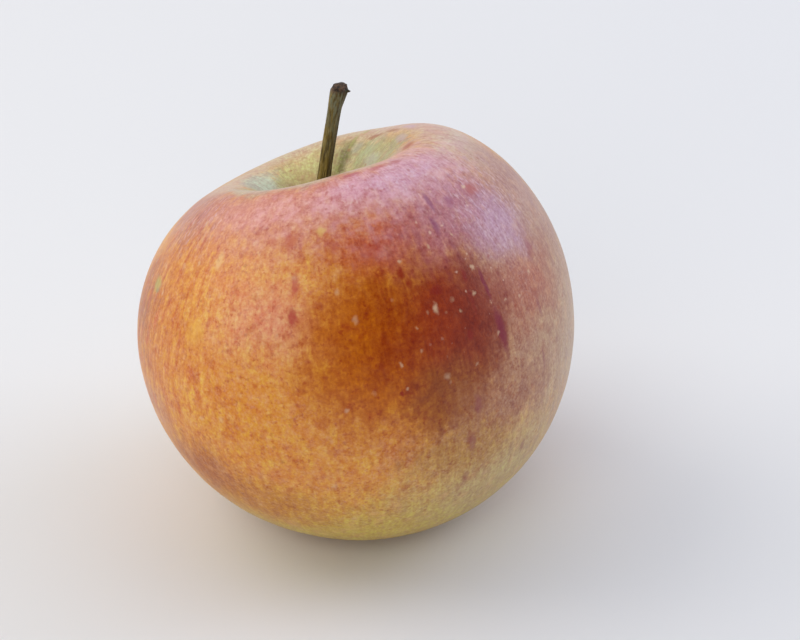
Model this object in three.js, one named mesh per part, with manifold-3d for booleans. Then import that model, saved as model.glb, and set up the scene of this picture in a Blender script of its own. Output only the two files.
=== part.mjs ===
// A whole ripe apple, lopsided as it grew: the shoulder at the front right stands higher than the one at the
// back left, and the stem rises from an off-centre hollow. It stands on a flat ring round its dried eye.
// Units are millimetres and +Z is up. The origin is under the middle of the apple, on the surface it stands on.
import * as THREE from "three";
import { mergeVertices } from "three/addons/utils/BufferGeometryUtils.js";
import Module from "manifold-3d";

const wasm = await Module();
wasm.setup();

const TURN = 2 * Math.PI;
const GOLDEN_TURN = TURN * 0.381966;
const radians = THREE.MathUtils.degToRad;
const { lerp, smoothstep } = THREE.MathUtils;

// Fruit: its body before the hollows are pressed in
const FRUIT_RADIUS = 39.6; // of the widest cross-section
const FRUIT_HALF_HEIGHT = 35.9;
const SIDE_FULLNESS = 0.06; // how much squarer than an ellipse the sides are
const OVAL = 0.052; // the cross-section is this much longer along OVAL_AZIMUTH, and as much shorter across it
const OVAL_AZIMUTH = radians(64);
const AXIS_LEAN = { x: -9.1, y: 3.4 }; // how far the stem's end of the core has grown off-centre
const SHOULDER_SLOPE = { x: 0.296, y: -0.231 }; // rise of the shoulders towards the front right

// The five lobes, one for each seed chamber, that swell the shoulders by different amounts
const LOBE_RISES = [2.4, -0.4, -1.7, 2.5, 2.8];
const LOBES = LOBE_RISES.length;
const FIRST_LOBE_AZIMUTH = radians(-1);
const LOBE_SHARPNESS = 2.7;
const LOBE_CREST_RADIUS = 18.5; // distance from the axis at which a lobe stands highest
const LOBE_SWELL = 0.004; // share of the radius that each millimetre of lobe adds

// Stem hollow, with a fold in its wall between two lobes
const HOLLOW_DEPTH = 16.2;
const HOLLOW_RADIUS = 10.8;
const HOLLOW_STEEPNESS = 1.9;
const HOLLOW_TIP = 0.14; // rounds the hollow's lowest point
const HOLLOW_STRETCH = 0.075; // the whole hollow is drawn this much towards HOLLOW_AZIMUTH
const HOLLOW_AZIMUTH = radians(192);
const HOLLOW_OPENING = 0.28; // its right wall alone is this much further out, and so less steep
const OPENING_AZIMUTH = radians(-18);
const OPENING_SHARPNESS = 2.5;
const FOLD_DEPTH = 1.6;
const FOLD_AZIMUTH = radians(62);
const FOLD_SHARPNESS = 24;
const FOLD_RADIUS = 10.5;

// Eye basin underneath, pleated between the lobes, and the foot worn flat round it
const BASIN_DEPTH = 10.5;
const BASIN_RADIUS = 8.5;
const PLEAT_DEPTH = 0.8;
const PLEAT_RADIUS = 6.5;
const FOOT_DEPTH = 0.4; // how much of the lowest ring is flat

// Stem: its centre line runs from its root in the hollow to its knob, where it broke from the spur
const STEM_RISE = { x: 3.85, y: 2.8, z: 24.9 };
const STEM_BOW = -0.2; // how far its middle bows to the left of a straight line
const STEM_RADIUS = 1.17;
const STEM_ROOT_SWELL = { radius: 0.3, share: 0.12 };
const STEM_KNOB = { swell: 0.42, offset: 0.2, from: 0.82, to: 0.96, slant: 0.08, dome: 0.4, round: 0.35 };
const STEM_RIDGE = { count: 5, height: 0.07 };
const STEM_SUNK = 2.5; // how deep the stem's root stands in the fruit
const GROWN_GAP = 0.3; // between a grown piece and the socket it stands in

// Eye: dried sepals on a ring, one for each lobe, and the dried stamens inside it
const EYE_RING = { outer: 3.1, inner: 2.1, height: 2.6 };
const EYE_HANG = 1.6; // how far the ring's foot hangs below the top of the basin
const SEPAL = { fall: 5.2, width: 3.3, thickness: 0.6, reach: 2.2, cup: 0.35, overlap: 0.6 };
const SEPAL_TIP = { width: 0.06, taper: 2.2, curl: 2.4, thinning: 0.3, levelling: 0.3 }; // towards its point
const STAMEN = { count: 12, length: 3.6, shortening: 0.4, radius: 0.3, anther: 0.45, lean: 0.08, inset: 0.6 };
const STAMEN_PLUG = { height: 1.2, above: 1 }; // the disc that the stamens grow from, above the ring's foot

const MERIDIANS = 70;
const PARALLELS = 42;
const CROWDING = 0.17; // draws the parallels towards both ends
const SOCKET_MOUTH = 4; // how far a socket's cutter sticks out past the surface

const MATERIALS = {
  fruit: new THREE.MeshStandardMaterial({ color: 0xd2743a, roughness: 0.4, metalness: 0 }),
  stem: new THREE.MeshStandardMaterial({ color: 0x6f5d34, roughness: 0.8, metalness: 0 }),
  sepals: new THREE.MeshStandardMaterial({ color: 0x6b5a3c, roughness: 0.9, metalness: 0 }),
  stamens: new THREE.MeshStandardMaterial({ color: 0x3d2c1d, roughness: 0.9, metalness: 0 }),
};

// A bump of height 1 at one azimuth, which fades evenly to both sides
function azimuthBump(azimuth, centre, sharpness) {
  return Math.exp(sharpness * (Math.cos(azimuth - centre) - 1));
}

// A ring of height 1 at one radius, which is nothing at the axis and fades outwards
function radiusRing(radius, crest) {
  const share = (radius / crest) ** 2;
  return share * Math.exp(1 - share);
}

function lobeRise(azimuth) {
  const rise = (sum, height, i) =>
    sum + height * azimuthBump(azimuth, FIRST_LOBE_AZIMUTH + (i * TURN) / LOBES, LOBE_SHARPNESS);
  return LOBE_RISES.reduce(rise, 0);
}

function hollowDip(radius, azimuth) {
  const opening = HOLLOW_OPENING * azimuthBump(azimuth, OPENING_AZIMUTH, OPENING_SHARPNESS);
  const reach = HOLLOW_RADIUS * (1 + HOLLOW_STRETCH * Math.cos(azimuth - HOLLOW_AZIMUTH) + opening);
  return HOLLOW_DEPTH * Math.exp(-(Math.hypot(radius / reach, HOLLOW_TIP) ** HOLLOW_STEEPNESS));
}

function basinRise(radius) {
  return BASIN_DEPTH * Math.exp(-((radius / BASIN_RADIUS) ** 2));
}

// A point of the skin, about the body's centre: fall is the angle down from the stem's end
function skinPoint(fall, azimuth) {
  const across = Math.sin(fall);
  const up = Math.cos(fall);
  const topShare = ((1 + up) / 2) ** 2;
  const footShare = ((1 - up) / 2) ** 2;
  const roundRadius = FRUIT_RADIUS * across;
  const lobes = lobeRise(azimuth);

  const radius = roundRadius * (1 + OVAL * Math.cos(2 * (azimuth - OVAL_AZIMUTH)) + LOBE_SWELL * lobes);
  const x = radius * Math.cos(azimuth);
  const y = radius * Math.sin(azimuth);

  const fold = azimuthBump(azimuth, FOLD_AZIMUTH, FOLD_SHARPNESS) * radiusRing(roundRadius, FOLD_RADIUS);
  const shoulder = lobes * radiusRing(roundRadius, LOBE_CREST_RADIUS) - FOLD_DEPTH * fold;
  const slope = SHOULDER_SLOPE.x * x + SHOULDER_SLOPE.y * y;
  const pleat = Math.cos(LOBES * (azimuth - FIRST_LOBE_AZIMUTH)) * radiusRing(roundRadius, PLEAT_RADIUS);
  const ends = up > 0 ? -hollowDip(roundRadius, azimuth) : basinRise(roundRadius);

  const body = FRUIT_HALF_HEIGHT * up * (1 + SIDE_FULLNESS * across ** 3);
  const z = body + ends + topShare * (slope + shoulder) - footShare * PLEAT_DEPTH * pleat;
  return new THREE.Vector3(x + topShare * AXIS_LEAN.x, y + topShare * AXIS_LEAN.y, z);
}

function toSolid(geometry) {
  const bare = geometry.clone();
  bare.deleteAttribute("normal");
  bare.deleteAttribute("uv");
  const merged = mergeVertices(bare, 1e-3);
  const vertProperties = new Float32Array(merged.attributes.position.array);
  const triVerts = new Uint32Array(merged.index.array);
  return new wasm.Manifold(new wasm.Mesh({ numProp: 3, vertProperties, triVerts }));
}

function toGeometry(solid) {
  const mesh = solid.getMesh();
  const geometry = new THREE.BufferGeometry();
  geometry.setAttribute("position", new THREE.BufferAttribute(mesh.vertProperties, 3));
  geometry.setIndex(new THREE.BufferAttribute(mesh.triVerts, 1));
  geometry.computeVertexNormals();
  return geometry;
}

// Moves each vertex of a geometry to where move(vertex, u, v) says
function reshape(geometry, move) {
  const { position, uv } = geometry.attributes;
  for (let i = 0; i < position.count; i++) {
    const vertex = new THREE.Vector3().fromBufferAttribute(position, i);
    const moved = move(vertex, uv.getX(i), uv.getY(i));
    position.setXYZ(i, moved.x, moved.y, moved.z);
  }
  return geometry;
}

function upright(cylinder) {
  return cylinder.rotateX(Math.PI / 2);
}

// The fruit's body with its lowest ring flat at height 0, and how far it was lifted for that
function fruitBody() {
  const body = new THREE.SphereGeometry(1, MERIDIANS, PARALLELS);
  reshape(body, (vertex, u, v) => {
    const evenFall = Math.PI * (1 - v);
    return skinPoint(evenFall - CROWDING * Math.sin(2 * evenFall), TURN * u);
  });
  body.computeBoundingBox();
  const lift = -body.boundingBox.min.z - FOOT_DEPTH;
  reshape(body, ({ x, y, z }) => new THREE.Vector3(x, y, Math.max(z + lift, 0)));
  return { body, lift };
}

// The stem's centre line, from 0 where it leaves the fruit to 1 at its top, and straight down below 0
function stemCentre(root, t) {
  const along = Math.max(t, 0);
  const bow = STEM_BOW * 4 * along * (1 - along);
  const knob = STEM_KNOB.offset * smoothstep(t, STEM_KNOB.from, STEM_KNOB.to);
  const offset = new THREE.Vector3(STEM_RISE.x * along + bow + knob, STEM_RISE.y * along, STEM_RISE.z * t);
  return offset.add(root);
}

function stemRadius(t) {
  const root = STEM_ROOT_SWELL.radius * Math.exp(-((Math.max(t, 0) / STEM_ROOT_SWELL.share) ** 2));
  const knob = STEM_KNOB.swell * smoothstep(t, STEM_KNOB.from, STEM_KNOB.to);
  return STEM_RADIUS + root + knob - STEM_KNOB.round * smoothstep(t, STEM_KNOB.to, 1);
}

function stem(root) {
  const SIDES = 20;
  const RINGS = 24;
  const foot = -STEM_SUNK / STEM_RISE.z;
  const rod = new THREE.CylinderGeometry(1, 1, 1, SIDES, RINGS);
  return reshape(rod, ({ x, y, z }) => {
    const t = lerp(foot, 1, y + 0.5);
    const angle = Math.atan2(-z, x);
    const share = Math.hypot(x, z);
    const ridge = STEM_RIDGE.height * Math.cos(STEM_RIDGE.count * angle);
    const radius = share * (stemRadius(t) + ridge);
    const atTop = smoothstep(t, STEM_KNOB.from, 1);
    const cap = atTop * (STEM_KNOB.slant * Math.cos(angle) * radius + STEM_KNOB.dome * (1 - share));
    return stemCentre(root, t).add(new THREE.Vector3(radius * Math.cos(angle), radius * Math.sin(angle), cap));
  });
}

// The hole that the stem's root stands in
function stemSocket(root) {
  const radius = STEM_RADIUS + STEM_ROOT_SWELL.radius + STEM_RIDGE.height + GROWN_GAP;
  const depth = STEM_SUNK + GROWN_GAP;
  const cutter = upright(new THREE.CylinderGeometry(radius, radius, depth + SOCKET_MOUTH, 24));
  return cutter.translate(root.x, root.y, root.z + (SOCKET_MOUTH - depth) / 2);
}

// The hole that the eye's ring stands in, open downwards
function eyeSocket(ringFoot) {
  const radius = EYE_RING.outer + GROWN_GAP;
  const depth = EYE_RING.height + GROWN_GAP;
  const cutter = upright(new THREE.CylinderGeometry(radius, radius, depth + SOCKET_MOUTH, 30));
  return cutter.translate(0, 0, ringFoot + (depth - SOCKET_MOUTH) / 2);
}

function eyeRing(ringFoot) {
  const { outer, inner, height } = EYE_RING;
  const corners = [[inner, 0], [outer, 0], [outer, height], [inner, height], [inner, 0]];
  const profile = corners.map(([r, z]) => new THREE.Vector2(r, z));
  return upright(new THREE.LatheGeometry(profile, 30)).translate(0, 0, ringFoot);
}

// One sepal: it hangs from the ring, cupped at its base, narrows to a point and curls outwards
function sepal(index, ringFoot) {
  const blade = new THREE.BoxGeometry(2, 1, 1, 4, 1, 10);
  reshape(blade, ({ x, y, z }) => {
    const t = z + 0.5;
    const halfWidth = (SEPAL.width / 2) * Math.max(1 - t ** SEPAL_TIP.taper, SEPAL_TIP.width);
    const middleRadius = (EYE_RING.outer + EYE_RING.inner) / 2;
    const out = middleRadius + SEPAL.reach * t ** SEPAL_TIP.curl - SEPAL.cup * x ** 2 * (1 - t);
    const layer = SEPAL.thickness * y * (1 - SEPAL_TIP.thinning * t);
    const fall = SEPAL.fall * (t + SEPAL_TIP.levelling * (t - t ** 3));
    return new THREE.Vector3(out + layer, x * halfWidth, ringFoot + SEPAL.overlap - fall + layer * t);
  });
  return blade.rotateZ(FIRST_LOBE_AZIMUTH + (index * TURN) / LOBES);
}

function sepals(ringFoot) {
  let joined = toSolid(eyeRing(ringFoot));
  for (let i = 0; i < LOBES; i++) joined = joined.add(toSolid(sepal(i, ringFoot)));
  return toGeometry(joined);
}

// One stamen: a thread that leans outwards as it falls, with a small head
function stamen(index, plugRadius, top) {
  const azimuth = index * GOLDEN_TURN;
  const start = (plugRadius - STAMEN.inset) * Math.sqrt((index + 0.5) / STAMEN.count);
  const length = STAMEN.length * (1 - STAMEN.shortening * ((index * GOLDEN_TURN) / TURN % 1));
  const thread = upright(new THREE.CylinderGeometry(STAMEN.radius, STAMEN.radius, length, 5));
  const head = new THREE.IcosahedronGeometry(STAMEN.anther, 0).translate(0, 0, -length / 2);
  return [thread, head].map((piece) =>
    piece
      .translate(0, 0, -length / 2)
      .rotateY(-STAMEN.lean * start)
      .translate(start, 0, top)
      .rotateZ(azimuth),
  );
}

function stamens(ringFoot) {
  const plugRadius = EYE_RING.inner - GROWN_GAP;
  const plug = upright(new THREE.CylinderGeometry(plugRadius, plugRadius, STAMEN_PLUG.height, 20));
  const middle = ringFoot + STAMEN_PLUG.above + STAMEN_PLUG.height / 2;
  let joined = toSolid(plug.translate(0, 0, middle));
  for (let i = 0; i < STAMEN.count; i++)
    for (const piece of stamen(i, plugRadius, middle)) joined = joined.add(toSolid(piece));
  return toGeometry(joined);
}

function buildApple() {
  const { body, lift } = fruitBody();
  const stemRoot = skinPoint(0, 0).add(new THREE.Vector3(0, 0, lift));
  const ringFoot = skinPoint(Math.PI, 0).z + lift - EYE_HANG;
  const flesh = toSolid(body).subtract(toSolid(stemSocket(stemRoot))).subtract(toSolid(eyeSocket(ringFoot)));
  const pieces = {
    fruit: toGeometry(flesh),
    stem: stem(stemRoot),
    sepals: sepals(ringFoot),
    stamens: stamens(ringFoot),
  };

  const apple = new THREE.Group();
  for (const [name, geometry] of Object.entries(pieces)) {
    const mesh = new THREE.Mesh(geometry, MATERIALS[name]);
    mesh.name = name;
    apple.add(mesh);
  }
  const middle = new THREE.Box3().setFromObject(apple).getCenter(new THREE.Vector3());
  apple.position.set(-middle.x, -middle.y, 0);
  return apple;
}

export default buildApple();
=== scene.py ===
import math
from functools import partial

import bpy
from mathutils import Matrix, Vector


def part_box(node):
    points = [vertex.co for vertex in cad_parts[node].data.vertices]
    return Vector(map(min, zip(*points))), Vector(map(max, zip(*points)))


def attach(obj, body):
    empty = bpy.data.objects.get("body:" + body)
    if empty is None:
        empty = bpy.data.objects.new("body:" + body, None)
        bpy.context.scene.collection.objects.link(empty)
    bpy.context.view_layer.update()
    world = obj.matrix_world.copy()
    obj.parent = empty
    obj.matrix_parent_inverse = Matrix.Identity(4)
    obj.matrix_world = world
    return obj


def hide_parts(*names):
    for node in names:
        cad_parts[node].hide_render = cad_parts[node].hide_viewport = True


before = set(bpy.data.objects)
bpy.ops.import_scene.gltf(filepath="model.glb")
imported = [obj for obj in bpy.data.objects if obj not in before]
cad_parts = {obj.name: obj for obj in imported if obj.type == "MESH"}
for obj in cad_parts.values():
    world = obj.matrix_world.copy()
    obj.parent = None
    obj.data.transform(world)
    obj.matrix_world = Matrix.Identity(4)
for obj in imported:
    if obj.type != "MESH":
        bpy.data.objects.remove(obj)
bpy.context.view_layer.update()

MM = 0.001
TURN = 2 * math.pi
AXIS = (2.18, -0.54)  # the middle of the eye, from which the apple's shape is worked out
RING_HEIGHT = 2.6
EYE_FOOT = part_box("sepals")[1].z / MM - RING_HEIGHT  # height of the eye ring's lower edge
# Columns and rows of the sheet that each form is wrapped from
SHEETS = {
    "fruit": (384, 250),
    "stem": (96, 260),
    "sepal": (28, 44),
    "eye ring": (60, 20),
    "stamen": (10, 26),
    "disc": (48, 30),
}

MATH, VECTOR, RANGE = "ShaderNodeMath", "ShaderNodeVectorMath", "ShaderNodeMapRange"
NOISE, CELLS, MIX = "ShaderNodeTexNoise", "ShaderNodeTexVoronoi", "ShaderNodeMix"
SPLIT, JOIN = "ShaderNodeSeparateXYZ", "ShaderNodeCombineXYZ"

# Fruit, in millimetres and radians: the same rule as its solid's. The unevenness is taken from a level near the top of
# its noise, so that the skin stays inside the solid.
FRUIT = {
    "radius": 39.6,
    "half height": 35.9,
    "side fullness": 0.06,
    "oval": 0.052,
    "oval azimuth": math.radians(64),
    "lean x": -9.1,
    "lean y": 3.4,
    "slope x": 0.296,
    "slope y": -0.231,
    "first lobe azimuth": math.radians(-1),
    "lobe sharpness": 2.7,
    "lobe crest radius": 18.5,
    "lobe swell": 0.004,
    "hollow depth": 16.2,
    "hollow radius": 10.8,
    "hollow steepness": 1.9,
    "hollow tip": 0.14,
    "hollow stretch": 0.075,
    "hollow azimuth": math.radians(192),
    "opening": 0.28,
    "opening azimuth": math.radians(-18),
    "opening sharpness": 2.5,
    "fold depth": 1.6,
    "fold azimuth": math.radians(62),
    "fold sharpness": 24,
    "fold radius": 10.5,
    "basin depth": 10.5,
    "basin radius": 8.5,
    "pleat depth": 0.8,
    "pleat radius": 6.5,
    "foot depth": 0.4,
    "crowding": 0.17,
    "unevenness": 0.3,
    "unevenness level": 0.8,
    "unevenness width": 12,
    "even foot": 6,
}
LOBE_RISES = (2.4, -0.4, -1.7, 2.5, 2.8)
LOBES = len(LOBE_RISES)
FRUIT.update({f"lobe {i + 1} rise": rise for i, rise in enumerate(LOBE_RISES)})

# Stem: the lower end of its solid stands this deep in the fruit
STEM_SUNK = 2.5
STEM = {
    "root x": AXIS[0] + FRUIT["lean x"],
    "root y": AXIS[1] + FRUIT["lean y"],
    "root z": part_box("stem")[0].z / MM + STEM_SUNK,
    "sunk": STEM_SUNK,
    "rise x": 3.85,
    "rise y": 2.8,
    "rise z": 24.9,
    "bow": -0.2,
    "radius": 1.17,
    "root swell": 0.3,
    "root share": 0.12,
    "knob swell": 0.42,
    "knob offset": 0.2,
    "knob from": 0.82,
    "knob to": 0.96,
    "knob round": 0.35,
    "scar slant": 0.08,
    "scar dome": 0.35,
    "ridge height": 0.07,
    "bark height": 0.2,
    "scar roughness": 0.35,
    "spur length": 0.7,
    "spur azimuth": math.radians(-20),
    "spur sharpness": 90,
    "spur share": 0.965,
    "spur width": 0.008,
}
SCAR_EDGE, ROOT_EDGE = 0.1, 0.97  # how far down the stem's sheet the scar ends, and the root's end begins
RIDGES = 5
BARK_STRETCH = 26.3 / 7  # the stem's length over its fibres' stretch, which makes them run lengthwise
BARK_SCALE, SCAR_SCALE = 2.1, 1.6

# Sepals, in millimetres, by the same rule as their solid. Real hairs are 0.01 mm thick and stand in hundreds on each
# square millimetre, too fine to show, so they are drawn thicker and fewer.
SEPALS = {
    "foot x": AXIS[0],
    "foot y": AXIS[1],
    "foot z": EYE_FOOT,
    "ring outer": 3.1,
    "ring inner": 2.1,
    "ring height": RING_HEIGHT,
    "first azimuth": math.radians(-1),
    "fall": 5.2,
    "width": 3.3,
    "thickness": 0.6,
    "reach": 2.2,
    "cup": 0.35,
    "overlap": 0.6,
    "tip width": 0.06,
    "taper": 2.2,
    "curl": 2.4,
    "thinning": 0.3,
    "levelling": 0.3,
    "vein height": 0.1,
    "crinkle": 0.5,
    "hair length": 0.45,
    "hair radius": 0.03,
    "hairs per square millimetre": 6,
}
SEPAL_VEINS = 3
SEPAL_TILT = 0.07
SEPAL_LENGTHS = (0.86, 0.98)
SEPAL_CRINKLES = (0.55, 3)  # folds for each millimetre, and their detail
HAIR_LEAN = Vector((0.6, 0.6, 3))
SEEDS = {"tilt": 3, "length": 5, "hair place": 11, "hair lean": 13}

# Stamens, in millimetres
STAMENS = {
    "foot x": AXIS[0],
    "foot y": AXIS[1],
    "foot z": EYE_FOOT,
    "disc radius": 1.8,
    "disc height": 1.2,
    "disc above": 1,
    "disc edge": 0.4,
    "count": 12,
    "length": 3.6,
    "shortening": 0.4,
    "radius": 0.3,
    "waist": 0.45,
    "waist share": 0.7,
    "anther": 0.45,
    "anther from": 0.72,
    "anther to": 0.84,
    "lean": 0.08,
    "inset": 0.6,
    "bend": 0.25,
    "wrinkle": 0.25,
}
STAMEN_WRINKLES = (1.1, 2)  # wrinkles for each millimetre, and their detail
GOLDEN_TURN = math.pi * (3 - math.sqrt(5))

# The skin's areas, painted in this order over its golden ground. After the colour come the azimuth, fall, half width
# and half height of each in degrees, the share of it that has the full strength, and that strength.
SKIN_AREAS = {
    "yellow back": ("ccae58", 105, 72, 92, 72, 0.3, 1),
    "orange back": ("c89a54", 38, 64, 36, 46, 0.2, 0.75),
    "foot": ("c4ac4c", -75, 132, 105, 34, 0.3, 1),
    "olive base": ("b3a058", 100, 150, 140, 40, 0.3, 0.8),
    "rose half": ("b28a74", -20, 74, 60, 48, 0.35, 0.95),
    "straw low": ("bea878", -50, 112, 44, 22, 0.2, 0.9),
    "beige right": ("bca68e", 2, 98, 58, 30, 0, 0.85),
    "ochre low": ("ac8044", -62, 98, 24, 14, 0.2, 0.8),
    "shoulder": ("c8826a", -95, 36, 95, 17, 0.3, 0.9),
    "orange left": ("c97822", -150, 64, 22, 40, 0.2, 0.8),
    "left shade": ("ac6004", -162, 68, 20, 24, 0.2, 0.9),
    "left shoulder": ("b4746a", -164, 36, 46, 15, 0.2, 0.9),
    "peach cheek": ("e0a070", -110, 60, 26, 19, 0.1, 0.9),
    "pink cheek": ("dc9c84", -107, 62, 15, 12, 0.1, 0.6),
    "yellow cheek": ("d9922a", -120, 84, 30, 18, 0.2, 0.8),
    "pink side": ("c08462", -150, 93, 15, 12, 0.2, 0.8),
    "amber low": ("be7a16", -118, 114, 30, 15, 0.2, 0.8),
    "amber side": ("ae6006", -134, 106, 20, 12, 0.2, 0.9),
    "amber middle": ("b86200", -82, 70, 27, 32, 0.2, 1),
    "red-brown middle": ("963400", -60, 68, 31, 27, 0.15, 1),
    "brown low": ("8a4404", -64, 85, 21, 12, 0.1, 0.8),
    "cherry": ("7e2204", -52, 72, 15, 19, 0.1, 0.85),
    "rust right": ("b0644e", -28, 70, 25, 14, 0.1, 0.9),
    "rose low": ("a47058", -47, 91, 26, 10, 0.1, 0.8),
    "crimson shoulder": ("be5a3e", -72, 47, 30, 10, 0.1, 0.85),
    "plum": ("ac6478", -42, 48, 40, 14, 0.2, 0.95),
    # Partly painted highlight, the lilac sheen of the right window over the crimson, and partly lilac bloom
    "lilac": ("b88cae", -27, 56, 20, 11, 0.1, 0.9),
    # Painted reflection: the pale band along the right edge
    "painted reflection on right edge": ("b88c86", -2, 50, 22, 28, 0.2, 0.9),
    # The pale pink and lilac band round the shoulder: partly bloom, partly painted reflection of the sky
    "rose shoulder bloom and sheen": ("cc8a86", -100, 33, 72, 10, 0.2, 0.85),
    "pink shoulder bloom and sheen": ("d89eb0", -74, 34, 18, 7, 0.2, 0.8),
    "lilac shoulder bloom and sheen": ("cca0c0", -50, 34, 54, 12, 0.2, 0.95),
    "pale shoulder bloom and sheen": ("cebcb4", 4, 34, 44, 14, 0, 0.9),
    "beige rim": ("bca894", -95, 22.5, 118, 5, 0.2, 0.85),
    "far rim": ("c8b498", 85, 27, 120, 15, 0.3, 0.95),
    "left rim": ("c0ac98", -145, 23.5, 44, 5, 0.3, 0.85),
    "far edge": ("ccb4a4", 165, 27, 50, 8, 0.3, 0.7),
    "far rim blush": ("cca8a0", 30, 29, 55, 7, 0.3, 0.8),
    "hollow": ("b4ad7c", 0, 0, 400, 24, 0.75, 1),
    "sunlit wall": ("c4bc84", 108, 18, 26, 8, 0.3, 0.9),
    "bloom wall": ("bcc6bc", 152, 19, 24, 8, 0.4, 0.9),
    # The fold's crease: the olive of the skin there, darkened with painted shade
    "fold": ("72722c", 70, 14.5, 9, 7, 0.2, 0.9),
    "green wall": ("a9ad84", 48, 16, 18, 7, 0.3, 0.8),
    # The hollow's floor: its green, darkened with painted shade
    "shaded hollow floor": ("8f8650", 0, 0, 400, 9, 0.3, 0.8),
}
# Single marks with crisp edges: colour, azimuth, fall, half width and half height in degrees, and strength
COLOUR_MARKS = (
    # Grey-green and pale painted sheen and rust in the hollow, and red along its rim
    ("a6aea0", 63, 19.6, 6, 2.6, 0.4),
    ("a8a85c", 69.5, 22, 1.8, 4.5, 0.6),
    ("a8a85c", 67, 27.5, 2, 3, 0.5),
    ("b4bc8c", 45, 17, 18, 2, 0.4),
    # Painted sheen: a pale band along the hollow's wall
    ("c0c6bc", 25, 14.5, 20, 2.4, 0.4),
    ("c8a8ac", 14, 21.5, 12, 2, 0.6),
    ("c8a8b8", 30, 25.8, 10, 1.8, 0.6),
    ("a86c44", 53, 22.2, 9, 1.5, 0.85),
    ("a86c44", 40, 23.2, 9, 1.3, 0.8),
    ("b0604a", -14, 23.8, 11, 1.8, 0.85),
    ("b0545c", -73, 27.2, 7, 1.4, 0.65),
    ("b85c5c", -58, 27.6, 8, 1.5, 0.65),
    ("b0544c", -47, 28.4, 6, 1.5, 0.6),
    ("b05a5c", -95, 27, 9, 1.3, 0.4),
    # Plum and purple streaks down the front
    ("7e1630", -46.2, 65, 1.1, 5.5, 0.85),
    ("7e1630", -45.8, 75.5, 2.2, 7, 0.85),
    ("84406a", -50.5, 43.5, 1.5, 3.2, 0.6),
    ("84406a", -53.5, 49, 1.6, 3.4, 0.5),
    ("8e3c68", -42.5, 45.5, 3, 2.4, 0.5),
    # Dark red spots where the blush is deepest, and paler red ones round it
    ("8a1808", -70.5, 55.8, 1.6, 1.8, 0.8),
    ("8a1808", -69, 58.5, 1.2, 1.8, 0.6),
    ("861a0c", -62.2, 61.8, 2.6, 1.4, 0.7),
    ("861a10", -51.8, 61.4, 1.2, 2.2, 0.8),
    ("861a10", -56.2, 73.4, 1.4, 1.8, 0.7),
    ("861a10", -52.5, 67, 1, 4, 0.5),
    ("8a1808", -77.2, 81, 1.1, 0.9, 0.8),
    ("ac3a38", -101.5, 60.5, 1.8, 3.2, 0.8),
    ("b4484a", -100.5, 53, 1.6, 4, 0.6),
    ("b8503c", -102, 43, 3.4, 3, 0.5),
    ("b84a34", -108.5, 42.5, 3, 1.4, 0.4),
    ("a83828", -89, 46, 3, 2.5, 0.4),
    ("a83828", -76.5, 49, 4, 2, 0.4),
    ("b04a34", -29, 46, 5, 2.4, 0.7),
    ("96303c", -21, 65, 2.2, 3, 0.5),
    ("904a50", -28, 77, 1, 4, 0.5),
    ("904a50", -31, 88, 0.8, 4, 0.5),
    # Purple streaks and rusty spots low down
    ("8e4a52", -57.7, 89, 1.6, 3.2, 0.5),
    ("8e4a52", -60.3, 98, 1.6, 4, 0.5),
    ("8e4a52", -40.5, 108, 1.6, 3, 0.4),
    ("8e4a52", -62, 108, 1.4, 2.4, 0.4),
    ("a85a30", -134, 106, 2, 2.4, 0.4),
    ("a85a30", -123, 106.2, 1.2, 2, 0.3),
    ("a85a30", -106.5, 113, 2, 1.4, 0.35),
    ("a85a30", -102, 117.4, 1.6, 0.9, 0.35),
    # Yellow flecks, and a green blemish
    ("e8c888", -126.8, 47, 1.8, 3.4, 0.5),
    ("e6b448", -130, 66, 4, 5, 0.45),
    ("dcbc6c", -91.5, 41.8, 2.4, 1.6, 0.6),
    ("aaaa5c", -154, 58.5, 3.8, 3, 0.65),
    ("8c9070", -152.5, 60, 1.5, 1.1, 0.5),
)
# The largest pores: azimuth, fall, half width and half height in degrees, and strength
PALE_MARKS = (
    (-48, 60.6, 1.2, 0.9, 0.8),
    (-49.5, 52.2, 0.7, 0.7, 0.7),
    (-59.3, 52.6, 0.8, 0.7, 0.6),
    (-51, 65.8, 1.1, 0.7, 0.7),
    (-46.5, 69, 0.6, 0.6, 0.6),
    (-63.8, 65.4, 1.1, 1.9, 0.8),
    (-69.8, 53.4, 0.9, 0.8, 0.7),
    (-89.2, 56.2, 1.1, 1.1, 0.4),
    (-85.5, 63, 1.2, 1.4, 0.4),
    (-76.5, 74.6, 0.7, 0.8, 0.6),
    (-70.5, 73, 0.7, 0.6, 0.4),
    (-70.5, 67.8, 0.6, 0.6, 0.4),
    (-57, 67.8, 0.7, 0.6, 0.5),
    (-47.2, 75.8, 0.6, 0.8, 0.6),
    (-35.2, 71.8, 0.8, 0.7, 0.6),
    (-41.2, 70.6, 0.7, 0.6, 0.6),
    (-27, 69, 1, 0.8, 0.7),
    (-65.2, 80.2, 1.5, 1.1, 0.4),
    (-56.2, 80.2, 0.7, 0.6, 0.4),
    (-75.8, 80.2, 0.7, 0.7, 0.5),
    (-90.8, 82.6, 0.8, 0.9, 0.5),
    (-31.5, 44.6, 1.7, 0.8, 0.9),
    (-143, 38, 1.6, 1.2, 0.5),
    (-135.5, 48.6, 1, 1, 0.5),
    (-148.5, 59.4, 0.8, 1.4, 0.7),
    (-105.8, 64.6, 0.9, 0.9, 0.4),
)
# Where some patterns keep to: azimuth, fall, half width and half height in degrees, and the share at full strength
SKIN_ZONES = {
    "left cheek": (-148, 68, 34, 46, 0.5),
    "rim": (-40, 28, 75, 5, 0.4),
    "blush": (-85, 72, 82, 64, 0.5),
    "deep colour": (-72, 70, 40, 28, 0.5),
    "milky shoulder sheen": (-60, 34, 100, 20, 0.3),
    "right shoulder": (-26, 46, 34, 24, 0.2),
    "left shoulder": (-152, 38, 34, 14, 0.3),
    "right side": (-44, 58, 36, 28, 0.4),
}
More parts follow.
